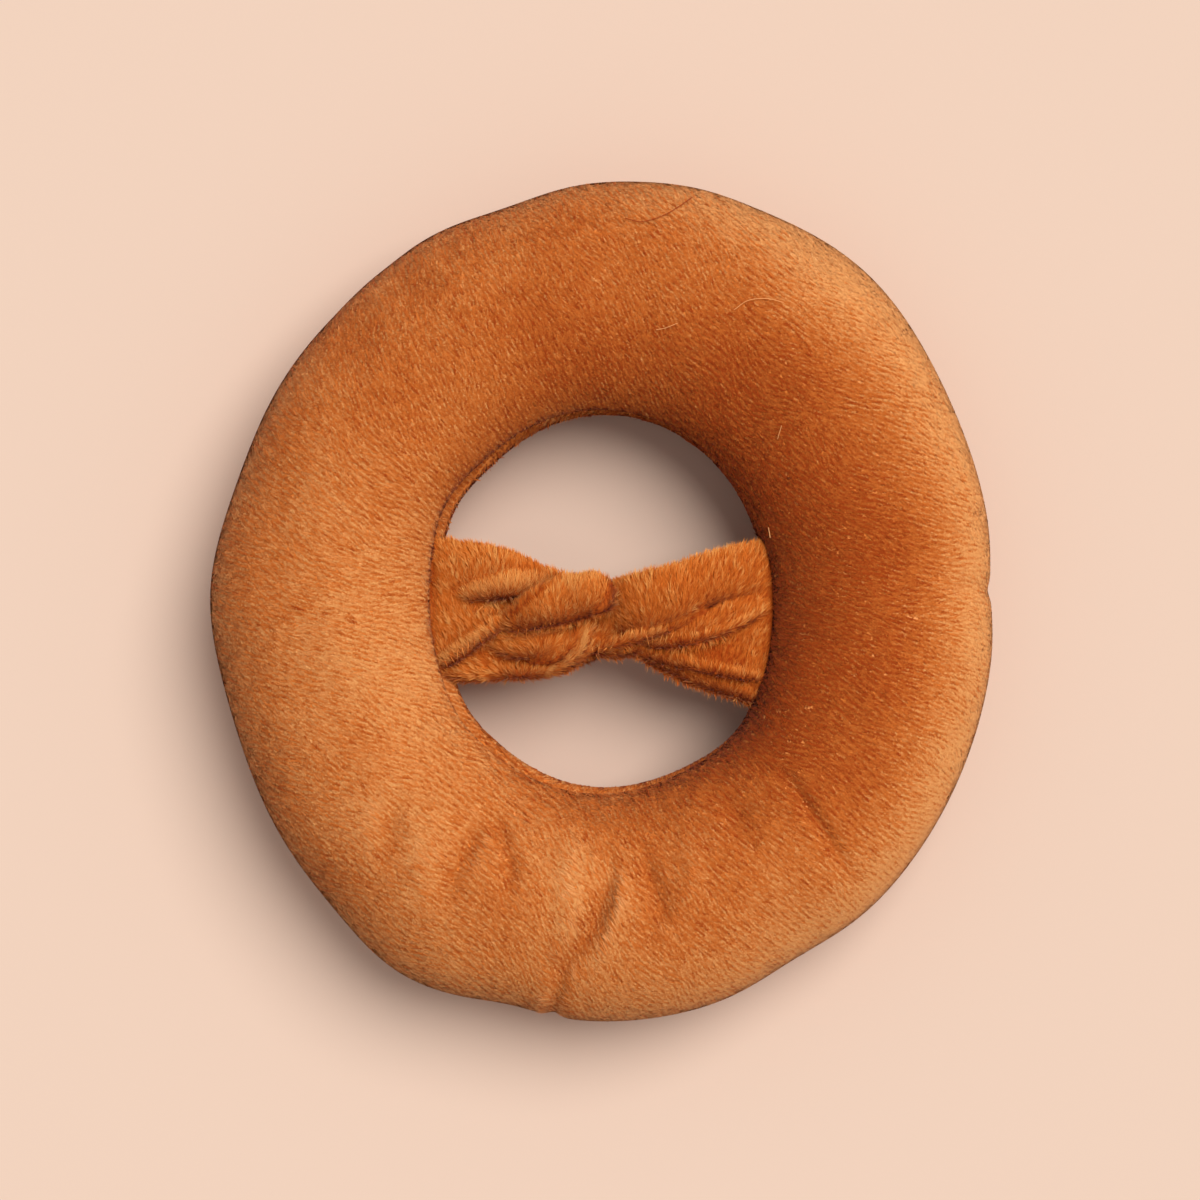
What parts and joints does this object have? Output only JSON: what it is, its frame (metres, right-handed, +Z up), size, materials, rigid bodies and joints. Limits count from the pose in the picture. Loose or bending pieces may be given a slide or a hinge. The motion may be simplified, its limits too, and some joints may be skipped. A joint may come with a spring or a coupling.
{
  "type": "plush toy pretzel",
  "caption": "Soft plush toy in the shape of a pretzel: a stuffed ring with a twisted fabric strap sewn across its hole, lying flat.",
  "frame": {"origin": "centre of the bounding box, on the surface that the ring rests on", "axes": "+Z up out of the surface, +Y along the hole's longer way, +X along the strap"},
  "size_m": [0.1676, 0.18, 0.04],
  "materials": {
    "ring_plush": "short lying pile, soft sheen",
    "strap_plush": "short lying pile, soft sheen"
  },
  "bodies": {
    "root": {"ring": "ring_plush", "twisted_strap": "strap_plush"}
  },
  "joints": []
}
